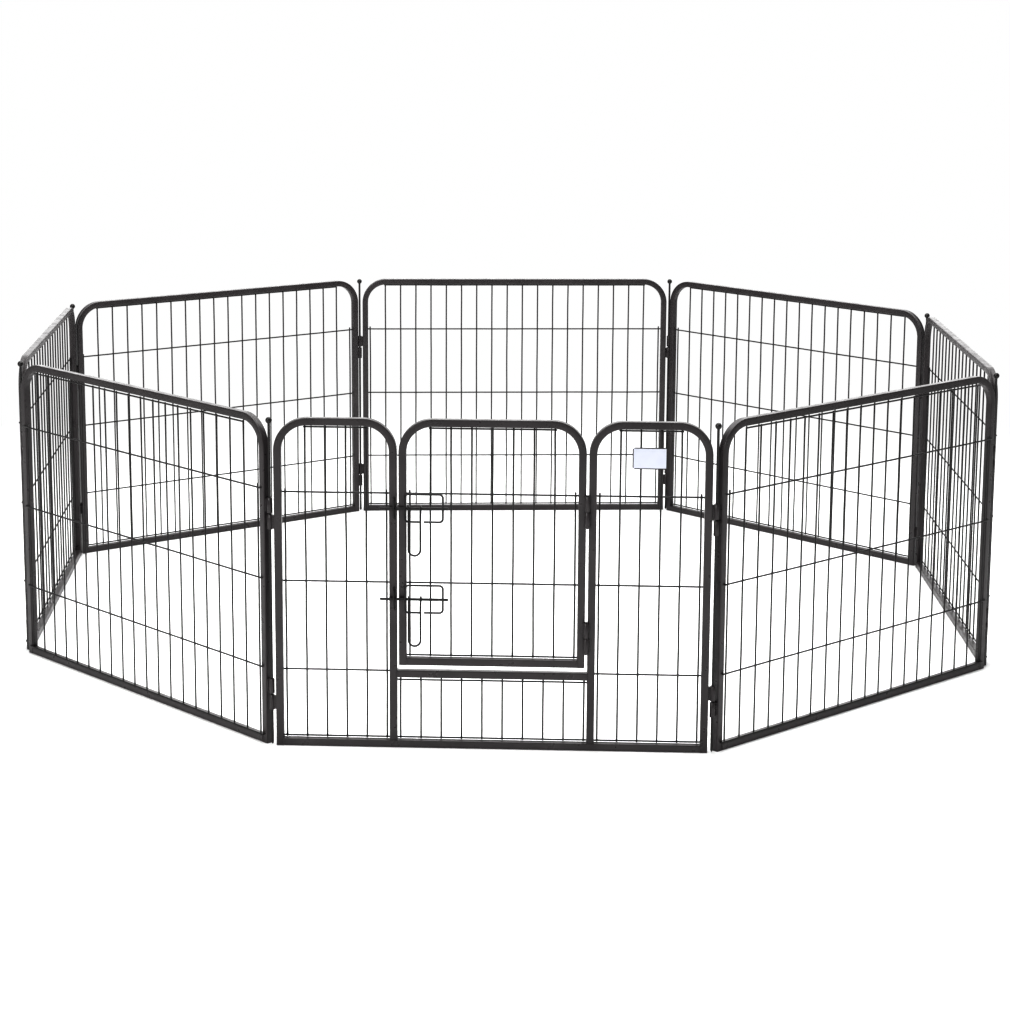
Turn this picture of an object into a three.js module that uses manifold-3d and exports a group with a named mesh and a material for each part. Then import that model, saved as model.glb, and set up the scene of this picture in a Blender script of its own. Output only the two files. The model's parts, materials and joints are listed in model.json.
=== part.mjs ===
// A pet playpen: eight panels of bent square tube and welded wire stand in a ring, hinged at the corners on
// drop pins. The front panel holds a door that swings outwards and is shut by two slide bolts.
//
// Millimetres, +Z up. The origin is on the floor, under the middle of the front panel. +X runs along the
// front panel to its right-hand end, seen from outside, and +Y runs into the pen.
//
// Each panel has its own frame: X along the panel, Y into the pen and Z up, from the middle of its foot.

import * as THREE from "three";
import { mergeVertices } from "three/addons/utils/BufferGeometryUtils.js";
import Module from "manifold-3d";

const wasm = await Module();
wasm.setup();

// Panels
const PANEL_WIDTH = 800;
const PANEL_HEIGHT = 622;
const TUBE = 14; // outside size of the square tube
const TUBE_WALL = 1;
const BEND_RADIUS = 62; // outside radius of a hoop's two top corners
const WELD_GAP = 0.3; // left between two pieces that are welded together
const FACE = TUBE / 2; // from a panel's middle plane to the face of its tubes

// Ring: how far each panel turns from the one before it, at the first five corners, in degrees.
// The last two panels close the ring as the equal sides of a triangle.
const CORNER_TURNS = [43.4, 48.4, 45.1, 47.5, 33.4];
const PANEL_NAMES = [
  "front",
  "front_right",
  "right",
  "back_right",
  "back",
  "back_left",
  "left",
  "front_left",
];

// Corner hinges: knuckles on both ends of a panel, threaded on one drop pin per corner
const PIN_GAP = 8; // from a panel's end to the pin's axis
const PIN_PITCH = PANEL_WIDTH + 2 * PIN_GAP;
const PIN_RADIUS = 2.4;
const PIN_FOOT = 1;
const PIN_BALL_RADIUS = 6.1;
const PIN_BALL_HEIGHT = 615.5;
const KNUCKLE_RADIUS = 5;
const KNUCKLE_BORE = 2.9;
const KNUCKLE_HEIGHT = 28;
const FAR_KNUCKLES = [99, 443]; // heights of the knuckles at a panel's far end, where the next panel joins
const NEAR_KNUCKLES = [68, 412]; // the near end's knuckles sit just under the far end's of the panel before

// Wire mesh: round wire as a four-sided bar of the same section area
const WIRE_RADIUS = 1.5; // centre to corner of the four-sided section
const WIRE_BITE = 0.4; // how far crossing wires sink into each other at a weld
const RAIL_WIRE_OFFSET = FACE + WELD_GAP + WIRE_RADIUS; // horizontal wires lie on the face of the tubes
const UPRIGHT_OFFSET = RAIL_WIRE_OFFSET - 2 * WIRE_RADIUS + WIRE_BITE;
const EDGE_WIRE_INSET = 5.5; // outermost uprights, from the inner face of the tube
const STILE_LAP = 5.5; // how far the horizontal wires reach over a tube's face
const UPRIGHT_TOP = 606.5; // inner uprights stop just short of the top tube
const FOOT_WIRE_HEIGHT = 16;
const PLAIN_WIRES = { rails: [148, 318, 488], top: 605, edgeTop: 495 };
const FRONT_WIRES = { rails: [144, 313, 481], top: 603, edgeTop: 488 }; // the bays and the door
const OUTSIDE = -1; // side of the middle plane: away from the pen
const INSIDE = 1;

// Front panel: two bays with a door between them
const LEFT_BAY_END = -174.5;
const RIGHT_BAY_START = 176;
const CROSS_RAIL_HEIGHT = 135;
const LOWER_TOP_WIRE = 127;
const DOOR_HALF_WIDTH = 171;
const DOOR_FOOT = 159;
const DOOR_FOOT_WIRE = 175;

// Door hinges, in front of the gap between the door and the right bay
const DOOR_AXIS = { x: 173.5, y: -FACE - 5.2 };
const DOOR_HINGE_HEIGHTS = [217, 455]; // where the two knuckles of a hinge meet
const DOOR_KNUCKLE_RADIUS = 4.7;
const DOOR_KNUCKLE_BORE = 2.6;
const DOOR_KNUCKLE_HEIGHT = 29.5;
const DOOR_PIN_RADIUS = 2;
const DOOR_PIN_HEAD_RADIUS = 3.4;
const DOOR_PIN_HEAD_HEIGHT = 1.7;
const DOOR_KNUCKLE_PLAY = 0.25; // half of the gap between a hinge's two knuckles

// Slide-bolt latches, in front of the gap between the door and the left bay
const LATCHES = { lower: 286, upper: 457 }; // heights of the bolts
const BOLT_RADIUS = 2.4;
const BOLT_Y = -10.3;
const BOLT_ENDS = [-205.5, -80];
const LATCH_WIRE = 3.2;
const GUARD_BACK = BOLT_Y - BOLT_RADIUS - 0.4;
const GUARD_ENDS = [-160.4, -87.8];
const GUARD_ABOVE = 29;
const GUARD_BELOW = 25.6;
const GUARD_CORNER = 9;
const GUARD_SLOT = [-129.8, -124.3]; // gap in the guard's lower bar
const KEEPER_X = -179.3;
const KEEPER_HALF_HEIGHT = 20;
const HANDLE_LEGS = [-152, -130.2];
const HANDLE_DROP = 88;
const HANDLE_EYE_RADIUS = 4.4;
const HANDLE_EYE_BORE = 2.9;
const HANDLE_BACK = GUARD_BACK - LATCH_WIRE - 0.7;

// Blank card on the right bay
const CARD = { left: 254, bottom: 533, width: 63, height: 40, thickness: 1.2 };

const powderCoat = new THREE.MeshStandardMaterial({ color: 0x454243, roughness: 0.45, metalness: 0.35 });
const coatedWire = new THREE.MeshStandardMaterial({ color: 0x343132, roughness: 0.5, metalness: 0.35 });
const darkSteel = new THREE.MeshStandardMaterial({ color: 0x2a2829, roughness: 0.4, metalness: 0.5 });
const whiteCard = new THREE.MeshStandardMaterial({ color: 0xe9e9ee, roughness: 0.6, metalness: 0 });

// Turns a closed geometry into a solid that can be joined and cut.
function solidOf(geometry) {
  const bare = geometry.clone();
  bare.deleteAttribute("normal");
  bare.deleteAttribute("uv");
  const merged = mergeVertices(bare, 1e-4);
  const mesh = new wasm.Mesh({
    numProp: 3,
    vertProperties: merged.attributes.position.array,
    triVerts: new Uint32Array(merged.index.array),
  });
  return new wasm.Manifold(mesh);
}

function meshOf(name, solid, material) {
  const made = solid.getMesh();
  const geometry = new THREE.BufferGeometry();
  geometry.setAttribute("position", new THREE.BufferAttribute(made.vertProperties, 3));
  geometry.setIndex(new THREE.BufferAttribute(made.triVerts, 1));
  geometry.computeVertexNormals();
  const mesh = new THREE.Mesh(geometry, material);
  mesh.name = name;
  return mesh;
}

function box([x0, x1], [y0, y1], [z0, z1]) {
  const geometry = new THREE.BoxGeometry(x1 - x0, y1 - y0, z1 - z0);
  geometry.translate((x0 + x1) / 2, (y0 + y1) / 2, (z0 + z1) / 2);
  return solidOf(geometry);
}

// An outline drawn in X and Z, thickened along Y from y0 to y1.
function plate(shape, y0, y1) {
  const geometry = new THREE.ExtrudeGeometry(shape, { depth: y1 - y0, bevelEnabled: false, curveSegments: 3 });
  geometry.rotateX(Math.PI / 2);
  geometry.translate(0, y1, 0);
  return solidOf(geometry);
}

// A prism with its flat ends at z0 and z1.
function uprightBar(radius, sides, x, y, z0, z1) {
  const geometry = new THREE.CylinderGeometry(radius, radius, z1 - z0, sides);
  geometry.rotateX(Math.PI / 2);
  geometry.translate(x, y, (z0 + z1) / 2);
  return solidOf(geometry);
}

// A prism with its flat ends at x0 and x1.
function crossBar(radius, sides, y, z, x0, x1) {
  const geometry = new THREE.CylinderGeometry(radius, radius, x1 - x0, sides);
  geometry.rotateZ(Math.PI / 2);
  geometry.translate((x0 + x1) / 2, y, z);
  return solidOf(geometry);
}

// A solid of revolution about the vertical line through x and y. Profile points are [radius, height].
function turned(profile, x, y) {
  const points = profile.map(([radius, height]) => new THREE.Vector2(radius, height));
  const geometry = new THREE.LatheGeometry(points, 8);
  geometry.rotateX(Math.PI / 2);
  geometry.translate(x, y, 0);
  return solidOf(geometry);
}

// The side view of a bent tube: two stiles joined by a top with round corners. skin draws it in on every
// side but the feet, which gives the tube's bore.
function hoopOutline({ left, right, leftFoot, rightFoot }, skin) {
  const outer = BEND_RADIUS - skin;
  const inner = BEND_RADIUS - TUBE + skin;
  const leftCentre = left + BEND_RADIUS;
  const rightCentre = right - BEND_RADIUS;
  const bendHeight = PANEL_HEIGHT - BEND_RADIUS;
  const shape = new THREE.Shape();
  shape.moveTo(leftCentre - outer, leftFoot - skin);
  shape.lineTo(leftCentre - outer, bendHeight);
  shape.absarc(leftCentre, bendHeight, outer, Math.PI, Math.PI / 2, true);
  shape.absarc(rightCentre, bendHeight, outer, Math.PI / 2, 0, true);
  shape.lineTo(rightCentre + outer, rightFoot - skin);
  shape.lineTo(rightCentre + inner, rightFoot - skin);
  shape.lineTo(rightCentre + inner, bendHeight);
  shape.absarc(rightCentre, bendHeight, inner, 0, Math.PI / 2, false);
  shape.absarc(leftCentre, bendHeight, inner, Math.PI / 2, Math.PI, false);
  shape.lineTo(leftCentre - inner, leftFoot - skin);
  return shape;
}

// A hoop of square tube, open at its two feet.
function hoop(span) {
  const bore = FACE - TUBE_WALL;
  return plate(hoopOutline(span, 0), -FACE, FACE).subtract(plate(hoopOutline(span, TUBE_WALL), -bore, bore));
}

// A straight square tube between two stiles, open at both ends.
function rail(x0, x1, foot) {
  const ends = [x0 + WELD_GAP, x1 - WELD_GAP];
  const boreEnds = [x0 - TUBE_WALL, x1 + TUBE_WALL];
  const bore = FACE - TUBE_WALL;
  const skin = box(ends, [-FACE, FACE], [foot, foot + TUBE]);
  return skin.subtract(box(boreEnds, [-bore, bore], [foot + TUBE_WALL, foot + TUBE - TUBE_WALL]));
}

// Adds one corner knuckle beside a hoop's end. end is 1 at the panel's far end and -1 at its near end.
function withCornerKnuckle(frame, end, foot) {
  const x = end * (PANEL_WIDTH / 2 + PIN_GAP);
  const top = foot + KNUCKLE_HEIGHT;
  const ring = uprightBar(KNUCKLE_RADIUS, 8, x, 0, foot, top);
  const bore = uprightBar(KNUCKLE_BORE, 8, x, 0, foot - 1, top + 1);
  const weldEnds = [PANEL_WIDTH / 2 - TUBE_WALL / 2, PANEL_WIDTH / 2 + PIN_GAP - KNUCKLE_BORE - 0.5];
  const weldSpan = end > 0 ? weldEnds : weldEnds.map((value) => -value).reverse();
  const weld = box(weldSpan, [-3, 3], [foot + 1, top - 1]);
  return frame.add(ring).add(weld).subtract(bore);
}

function withFarKnuckles(frame) {
  return FAR_KNUCKLES.reduce((made, foot) => withCornerKnuckle(made, 1, foot), frame);
}

function withNearKnuckles(frame) {
  return NEAR_KNUCKLES.reduce((made, foot) => withCornerKnuckle(made, -1, foot), frame);
}

// Evenly spaced uprights between two tubes' inner faces, with the edge uprights at their own inset.
function uprightPlaces(innerLeft, innerRight, count) {
  const first = innerLeft + EDGE_WIRE_INSET;
  const step = (innerRight - innerLeft - 2 * EDGE_WIRE_INSET) / (count - 1);
  return Array.from({ length: count }, (_, index) => first + index * step);
}

// A welded wire mesh. left and right are the inner faces of the tubes beside it, foot and top are the faces
// below and above it, and rails are the heights of the horizontal wires that run from tube to tube.
function wireMesh({ left, right, count, foot, top, rails, topWire, edgeTop, side }) {
  const places = uprightPlaces(left, right, count);
  const uprightY = side * UPRIGHT_OFFSET;
  const railY = side * RAIL_WIRE_OFFSET;
  const wires = places.map((x, index) => {
    const isEdge = index === 0 || index === count - 1;
    return uprightBar(WIRE_RADIUS, 4, x, uprightY, foot + WELD_GAP, isEdge ? edgeTop : top);
  });
  for (const height of rails) {
    wires.push(crossBar(WIRE_RADIUS, 4, railY, height, left - STILE_LAP, right + STILE_LAP));
  }
  if (topWire) {
    const overhang = 2 * WIRE_RADIUS;
    wires.push(crossBar(WIRE_RADIUS, 4, railY, topWire, places[1] - overhang, places[count - 2] + overhang));
  }
  return wires.reduce((joined, wire) => joined.add(wire));
}

function plainPanel(name) {
  const half = PANEL_WIDTH / 2;
  const inner = half - TUBE;
  const group = new THREE.Group();
  const frame = hoop({ left: -half, right: half, leftFoot: 0, rightFoot: 0 });
  const wires = wireMesh({
    left: -inner,
    right: inner,
    count: 20,
    foot: TUBE,
    top: UPRIGHT_TOP,
    rails: [FOOT_WIRE_HEIGHT, ...PLAIN_WIRES.rails],
    topWire: PLAIN_WIRES.top,
    edgeTop: PLAIN_WIRES.edgeTop,
    side: OUTSIDE,
  });
  group.add(meshOf(`${name}_hoop`, withNearKnuckles(withFarKnuckles(frame)), powderCoat));
  group.add(meshOf(`${name}_bottom_rail`, rail(-inner, inner, 0), powderCoat));
  group.add(meshOf(`${name}_mesh`, wires, coatedWire));
  return group;
}

// One knuckle of a door hinge, with the block of weld that holds it to the face of a stile.
function withDoorKnuckle(frame, foot, weldSpan) {
  const { x, y } = DOOR_AXIS;
  const top = foot + DOOR_KNUCKLE_HEIGHT;
  const ring = uprightBar(DOOR_KNUCKLE_RADIUS, 8, x, y, foot, top);
  const bore = uprightBar(DOOR_KNUCKLE_BORE, 8, x, y, foot - 1, top + 1);
  const weld = box(weldSpan, [y, -FACE + TUBE_WALL / 2], [foot + 1, top - 1]);
  return frame.add(ring).add(weld).subtract(bore);
}

function doorHingePin(meeting) {
  const { x, y } = DOOR_AXIS;
  const foot = meeting - DOOR_KNUCKLE_HEIGHT - 2;
  const neck = meeting + DOOR_KNUCKLE_PLAY + DOOR_KNUCKLE_HEIGHT + 0.5;
  const profile = [
    [0, foot],
    [DOOR_PIN_RADIUS, foot],
    [DOOR_PIN_RADIUS, neck],
    [DOOR_PIN_HEAD_RADIUS, neck],
    [DOOR_PIN_HEAD_RADIUS, neck + DOOR_PIN_HEAD_HEIGHT],
    [0, neck + DOOR_PIN_HEAD_HEIGHT],
  ];
  return turned(profile, x, y);
}

// The wire staple on the left bay that a bolt runs behind.
function keeper(height) {
  const span = [KEEPER_X - LATCH_WIRE / 2, KEEPER_X + LATCH_WIRE / 2];
  const foot = height - KEEPER_HALF_HEIGHT;
  const top = height + KEEPER_HALF_HEIGHT;
  const front = GUARD_BACK - LATCH_WIRE;
  const toFace = [front, -FACE - WELD_GAP];
  const bar = box(span, [front, GUARD_BACK], [foot, top]);
  const lowerLeg = box(span, toFace, [foot, foot + LATCH_WIRE]);
  const upperLeg = box(span, toFace, [top - LATCH_WIRE, top]);
  return bar.add(lowerLeg).add(upperLeg);
}

// The wire loop on the door that guides a bolt and stops its handle at each end of the travel.
function guard(height) {
  const [left, right] = GUARD_ENDS;
  const [slotLeft, slotRight] = GUARD_SLOT;
  const foot = height - GUARD_BELOW;
  const top = height + GUARD_ABOVE;
  const bend = right - GUARD_CORNER;
  const innerBend = GUARD_CORNER - LATCH_WIRE;
  const shape = new THREE.Shape();
  shape.moveTo(slotRight, foot);
  shape.absarc(bend, foot + GUARD_CORNER, GUARD_CORNER, -Math.PI / 2, 0, false);
  shape.absarc(bend, top - GUARD_CORNER, GUARD_CORNER, 0, Math.PI / 2, false);
  shape.lineTo(left, top);
  shape.lineTo(left, foot);
  shape.lineTo(slotLeft, foot);
  shape.lineTo(slotLeft, foot + LATCH_WIRE);
  shape.lineTo(left + LATCH_WIRE, foot + LATCH_WIRE);
  shape.lineTo(left + LATCH_WIRE, top - LATCH_WIRE);
  shape.absarc(bend, top - GUARD_CORNER, innerBend, Math.PI / 2, 0, true);
  shape.absarc(bend, foot + GUARD_CORNER, innerBend, 0, -Math.PI / 2, true);
  shape.lineTo(slotRight, foot + LATCH_WIRE);
  const legSpan = [left, left + LATCH_WIRE];
  const legReach = [GUARD_BACK - 1, -FACE - WELD_GAP];
  const loop = plate(shape, GUARD_BACK - LATCH_WIRE, GUARD_BACK);
  const lowerLeg = box(legSpan, legReach, [foot, foot + LATCH_WIRE]);
  const upperLeg = box(legSpan, legReach, [top - LATCH_WIRE, top]);
  return loop.add(lowerLeg).add(upperLeg);
}

// The U of wire that hangs from a bolt by two eyes and pulls it.
function handle(height) {
  const half = LATCH_WIRE / 2;
  const [left, right] = HANDLE_LEGS;
  const centre = (left + right) / 2;
  const outer = (right - left) / 2 + half;
  const inner = outer - LATCH_WIRE;
  const bend = height - HANDLE_DROP + outer;
  const top = height + half;
  const shape = new THREE.Shape();
  shape.moveTo(left - half, top);
  shape.lineTo(left - half, bend);
  shape.absarc(centre, bend, outer, Math.PI, 2 * Math.PI, false);
  shape.lineTo(right + half, top);
  shape.lineTo(right - half, top);
  shape.lineTo(right - half, bend);
  shape.absarc(centre, bend, inner, 2 * Math.PI, Math.PI, true);
  shape.lineTo(left + half, top);
  const grip = plate(shape, HANDLE_BACK - LATCH_WIRE, HANDLE_BACK);
  return HANDLE_LEGS.reduce((made, x) => {
    const eye = crossBar(HANDLE_EYE_RADIUS, 8, BOLT_Y, height, x - half, x + half);
    const bore = crossBar(HANDLE_EYE_BORE, 8, BOLT_Y, height, x - half - 1, x + half + 1);
    const neckReach = [HANDLE_BACK - half, BOLT_Y - HANDLE_EYE_BORE - 0.6];
    const neck = box([x - half, x + half], neckReach, [height - half, height + half]);
    return made.add(eye).add(neck).subtract(bore);
  }, grip);
}

function frontPanel() {
  const half = PANEL_WIDTH / 2;
  const inner = half - TUBE;
  const group = new THREE.Group();
  const bayFrame = { foot: TUBE, top: UPRIGHT_TOP, topWire: FRONT_WIRES.top, side: INSIDE };
  const bayRails = [FOOT_WIRE_HEIGHT, ...FRONT_WIRES.rails];
  const onRail = TUBE + WELD_GAP;

  const leftHoop = hoop({ left: -half, right: LEFT_BAY_END, leftFoot: 0, rightFoot: onRail });
  const rightHoop = hoop({ left: RIGHT_BAY_START, right: half, leftFoot: onRail, rightFoot: 0 });
  const bayWeld = [RIGHT_BAY_START + TUBE_WALL / 2, RIGHT_BAY_START + 5];
  const hungHoop = DOOR_HINGE_HEIGHTS.reduce(
    (made, meeting) => withDoorKnuckle(made, meeting - DOOR_KNUCKLE_PLAY - DOOR_KNUCKLE_HEIGHT, bayWeld),
    rightHoop,
  );
  group.add(meshOf("front_left_bay_hoop", withNearKnuckles(leftHoop), powderCoat));
  group.add(meshOf("front_right_bay_hoop", withFarKnuckles(hungHoop), powderCoat));
  group.add(meshOf("front_bottom_rail", rail(-inner, inner, 0), powderCoat));
  group.add(meshOf("front_cross_rail", rail(LEFT_BAY_END, RIGHT_BAY_START, CROSS_RAIL_HEIGHT), powderCoat));

  const leftMesh = wireMesh({
    ...bayFrame,
    left: -inner,
    right: LEFT_BAY_END - TUBE,
    count: 6,
    rails: bayRails,
    edgeTop: FRONT_WIRES.edgeTop,
  });
  const rightMesh = wireMesh({
    ...bayFrame,
    left: RIGHT_BAY_START + TUBE,
    right: inner,
    count: 6,
    rails: bayRails,
    edgeTop: FRONT_WIRES.edgeTop,
  });
  const lowerMesh = wireMesh({
    left: LEFT_BAY_END,
    right: RIGHT_BAY_START,
    count: 10,
    foot: TUBE,
    top: CROSS_RAIL_HEIGHT - WELD_GAP,
    rails: [FOOT_WIRE_HEIGHT, LOWER_TOP_WIRE],
    topWire: null,
    edgeTop: CROSS_RAIL_HEIGHT - WELD_GAP,
    side: INSIDE,
  });
  group.add(meshOf("front_left_bay_mesh", leftMesh, coatedWire));
  group.add(meshOf("front_right_bay_mesh", rightMesh, coatedWire));
  group.add(meshOf("front_lower_mesh", lowerMesh, coatedWire));

  DOOR_HINGE_HEIGHTS.forEach((meeting, index) => {
    group.add(meshOf(`door_hinge_pin_${["lower", "upper"][index]}`, doorHingePin(meeting), darkSteel));
  });
  for (const [place, height] of Object.entries(LATCHES)) {
    group.add(meshOf(`latch_keeper_${place}`, keeper(height), darkSteel));
  }
  const cardFront = UPRIGHT_OFFSET - WIRE_RADIUS - WELD_GAP - CARD.thickness;
  const card = box(
    [CARD.left, CARD.left + CARD.width],
    [cardFront, cardFront + CARD.thickness],
    [CARD.bottom, CARD.bottom + CARD.height],
  );
  group.add(meshOf("blank_card", card, whiteCard));
  return group;
}

function door() {
  const inner = DOOR_HALF_WIDTH - TUBE;
  const group = new THREE.Group();
  const span = { left: -DOOR_HALF_WIDTH, right: DOOR_HALF_WIDTH, leftFoot: DOOR_FOOT, rightFoot: DOOR_FOOT };
  const weldSpan = [DOOR_HALF_WIDTH - 5, DOOR_HALF_WIDTH - TUBE_WALL / 2];
  const frame = DOOR_HINGE_HEIGHTS.reduce(
    (made, meeting) => withDoorKnuckle(made, meeting + DOOR_KNUCKLE_PLAY, weldSpan),
    hoop(span),
  );
  const wires = wireMesh({
    left: -inner,
    right: inner,
    count: 9,
    foot: DOOR_FOOT + TUBE,
    top: UPRIGHT_TOP,
    rails: [DOOR_FOOT_WIRE, ...FRONT_WIRES.rails.slice(1)],
    topWire: FRONT_WIRES.top,
    edgeTop: FRONT_WIRES.edgeTop,
    side: INSIDE,
  });
  group.add(meshOf("door_hoop", frame, powderCoat));
  group.add(meshOf("door_bottom_rail", rail(-inner, inner, DOOR_FOOT), powderCoat));
  group.add(meshOf("door_mesh", wires, coatedWire));
  for (const [place, height] of Object.entries(LATCHES)) {
    group.add(meshOf(`latch_guard_${place}`, guard(height), darkSteel));
    group.add(meshOf(`latch_bolt_${place}`, crossBar(BOLT_RADIUS, 8, BOLT_Y, height, ...BOLT_ENDS), darkSteel));
    group.add(meshOf(`latch_handle_${place}`, handle(height), darkSteel));
  }
  return group;
}

// A corner's drop pin: a rod with a blunt point at the foot and a ball on top.
function dropPin() {
  const neckAngle = Math.PI - Math.asin(PIN_RADIUS / PIN_BALL_RADIUS);
  const ballSteps = 4;
  const profile = [
    [0, PIN_FOOT],
    [PIN_RADIUS / 2, PIN_FOOT],
    [PIN_RADIUS, PIN_FOOT + 3],
  ];
  for (let step = 0; step < ballSteps; step += 1) {
    const angle = neckAngle * (1 - step / ballSteps);
    profile.push([PIN_BALL_RADIUS * Math.sin(angle), PIN_BALL_HEIGHT + PIN_BALL_RADIUS * Math.cos(angle)]);
  }
  profile.push([0, PIN_BALL_HEIGHT + PIN_BALL_RADIUS]);
  return turned(profile, 0, 0);
}

// The pins' places and the panels' headings, counter-clockwise from the front panel's left-hand pin.
function ringLayout() {
  const headings = [0];
  for (const turn of CORNER_TURNS) headings.push(headings.at(-1) + THREE.MathUtils.degToRad(turn));
  const pins = [new THREE.Vector2(-PIN_PITCH / 2, 0)];
  const step = (heading) => new THREE.Vector2(Math.cos(heading), Math.sin(heading)).multiplyScalar(PIN_PITCH);
  for (const heading of headings) pins.push(pins.at(-1).clone().add(step(heading)));
  const closing = pins[0].clone().sub(pins.at(-1));
  const apexAngle = Math.acos(closing.length() / 2 / PIN_PITCH);
  headings.push(closing.angle() - apexAngle);
  pins.push(pins.at(-1).clone().add(step(headings.at(-1))));
  headings.push(closing.angle() + apexAngle);
  return { headings, pins };
}

const playpen = new THREE.Group();
const { headings, pins } = ringLayout();
PANEL_NAMES.forEach((name, index) => {
  const panel = index === 0 ? frontPanel() : plainPanel(name);
  if (index === 0) panel.add(door());
  const next = pins[(index + 1) % pins.length];
  panel.position.set((pins[index].x + next.x) / 2, (pins[index].y + next.y) / 2, 0);
  panel.rotation.z = headings[index];
  playpen.add(panel);

  const before = PANEL_NAMES.at(index - 1);
  const pin = meshOf(`pin_${before}_to_${name}`, dropPin(), darkSteel);
  pin.position.set(pins[index].x, pins[index].y, 0);
  playpen.add(pin);
});

export default playpen;
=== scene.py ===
"""Looks for the pet playpen: bent tubes, welded wire, hinges and latches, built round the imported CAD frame.

Lengths are written in millimetres and turned into metres by MM. A panel's own frame has X along the panel,
Y into the pen and Z up, from the middle of its foot; the corner pins in the CAD say where each panel stands.
"""

import json
import math

import bmesh
import bpy
from mathutils import Matrix, Vector, noise

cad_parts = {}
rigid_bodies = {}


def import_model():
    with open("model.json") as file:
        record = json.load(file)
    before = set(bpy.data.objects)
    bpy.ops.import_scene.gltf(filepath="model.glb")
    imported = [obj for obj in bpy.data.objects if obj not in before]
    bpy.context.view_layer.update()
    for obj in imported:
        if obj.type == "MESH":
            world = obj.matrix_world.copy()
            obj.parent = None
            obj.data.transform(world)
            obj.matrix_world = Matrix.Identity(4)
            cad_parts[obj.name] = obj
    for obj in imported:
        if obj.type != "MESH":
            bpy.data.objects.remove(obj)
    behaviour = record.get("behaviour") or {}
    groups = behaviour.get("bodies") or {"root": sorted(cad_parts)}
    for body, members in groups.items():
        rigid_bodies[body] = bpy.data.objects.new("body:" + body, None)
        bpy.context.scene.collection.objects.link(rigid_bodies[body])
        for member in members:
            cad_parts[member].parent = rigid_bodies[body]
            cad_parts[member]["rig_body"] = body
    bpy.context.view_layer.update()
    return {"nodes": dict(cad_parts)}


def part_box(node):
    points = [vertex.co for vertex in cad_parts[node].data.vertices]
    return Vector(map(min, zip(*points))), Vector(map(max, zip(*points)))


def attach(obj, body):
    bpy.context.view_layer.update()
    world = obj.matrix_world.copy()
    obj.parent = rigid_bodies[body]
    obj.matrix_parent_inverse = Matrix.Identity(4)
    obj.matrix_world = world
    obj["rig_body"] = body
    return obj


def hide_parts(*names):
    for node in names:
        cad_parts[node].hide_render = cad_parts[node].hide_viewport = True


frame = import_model()

MM = 0.001
X_AXIS = Vector((1, 0, 0))
Y_AXIS = Vector((0, 1, 0))
Z_AXIS = Vector((0, 0, 1))

# Tubes
HALF_WIDTH = 400.0
HEIGHT = 622.0
TUBE = 14.0
FACE = TUBE / 2
TUBE_CORNER = 1.7
BEND_RADIUS = 55.0  # centre line of a hoop's two top corners
CUT_EDGE = 0.5  # how far a tube's sawn end is rounded over
BEND_STEPS = 26
BEND_RIPPLES = 9  # half waves along the inner wall of a bend
RIPPLE_DEPTH = 0.45
WELD = 0.9  # radius of the run of weld round a tube's end

# Corner hinges
PIN_GAP = 8.0
PIN_RADIUS = 2.4
PIN_FOOT = 1.0
BALL_RADIUS = 6.1
BALL_HEIGHT = 615.5
KNUCKLE_RADIUS = 5.0
KNUCKLE_BORE = 2.8
KNUCKLE_HEIGHT = 28.0
FAR_KNUCKLES = (99.0, 443.0)
NEAR_KNUCKLES = (68.0, 412.0)

# Wire mesh
WIRE = 1.6  # wire radius
TIP_LENGTH = 0.35  # a wire's rounded end, as shares of its radius
TIP_SIZE = 0.7
SWAY = 0.5  # how far a wire wanders off its line
FINE_SWAY = 0.12
RAIL_WIRE_Y = FACE + WIRE
WIRE_BITE = 0.3  # how far crossing wires sink into each other
UPRIGHT_Y = RAIL_WIRE_Y - 2 * WIRE + WIRE_BITE
EDGE_INSET = 5.5
STILE_LAP = 5.5
UPRIGHT_TOP = 606.5
FOOT_WIRE_RISE = 1.4  # from the foot of the uprights to the lowest level wire
MESH_GAP = 0.6  # from a rail to the foot of the uprights
PLAIN_WIRES = {"rails": (148.0, 318.0, 488.0), "top": 605.0, "edge_top": 495.0}
FRONT_WIRES = {"rails": (144.0, 313.0, 481.0), "top": 603.0, "edge_top": 488.0}
CROSSING_WELD = (1.7, 1.2, 1.7)  # half sizes of the spot of weld where two wires cross
TUBE_WELD = (2.6, 1.3, 1.9)  # and where a wire ends on a tube
OUTSIDE = -1
INSIDE = 1

# Front panel and door
LEFT_BAY_END = -174.5
RIGHT_BAY_START = 176.0
CROSS_RAIL = 135.0
LOWER_TOP_WIRE = 127.0
DOOR_HALF = 171.0
DOOR_FOOT = 159.0
DOOR_HINGES = {"lower": 217.0, "upper": 455.0}
DOOR_AXIS = Vector((173.5, -FACE - 5.2, 0))
DOOR_KNUCKLE = 4.7
DOOR_KNUCKLE_BORE = 2.5
DOOR_KNUCKLE_HEIGHT = 29.5
DOOR_KNUCKLE_PLAY = 0.25  # half of the gap between a hinge's two knuckles
DOOR_PIN = 2.0

# Slide bolts
LATCHES = {"lower": 286.0, "upper": 457.0}
BOLT = 2.4
BOLT_Y = -10.3
BOLT_ENDS = (-205.5, -80.0)
LATCH_WIRE = 1.8
GUARD_Y = -14.7
GUARD_ENDS = (-158.8, -89.4)
GUARD_ABOVE = 27.4
GUARD_BELOW = 24.0
GUARD_SLOT = (-129.8, -124.3)
KEEPER_X = -179.3
KEEPER_REACH = 18.4
HANDLE_LEGS = (-152.0, -130.2)
HANDLE_DROP = 86.4
HANDLE_Y = -18.6
LATCH_WELD = (2.5, 1.1, 2.5)

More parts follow.
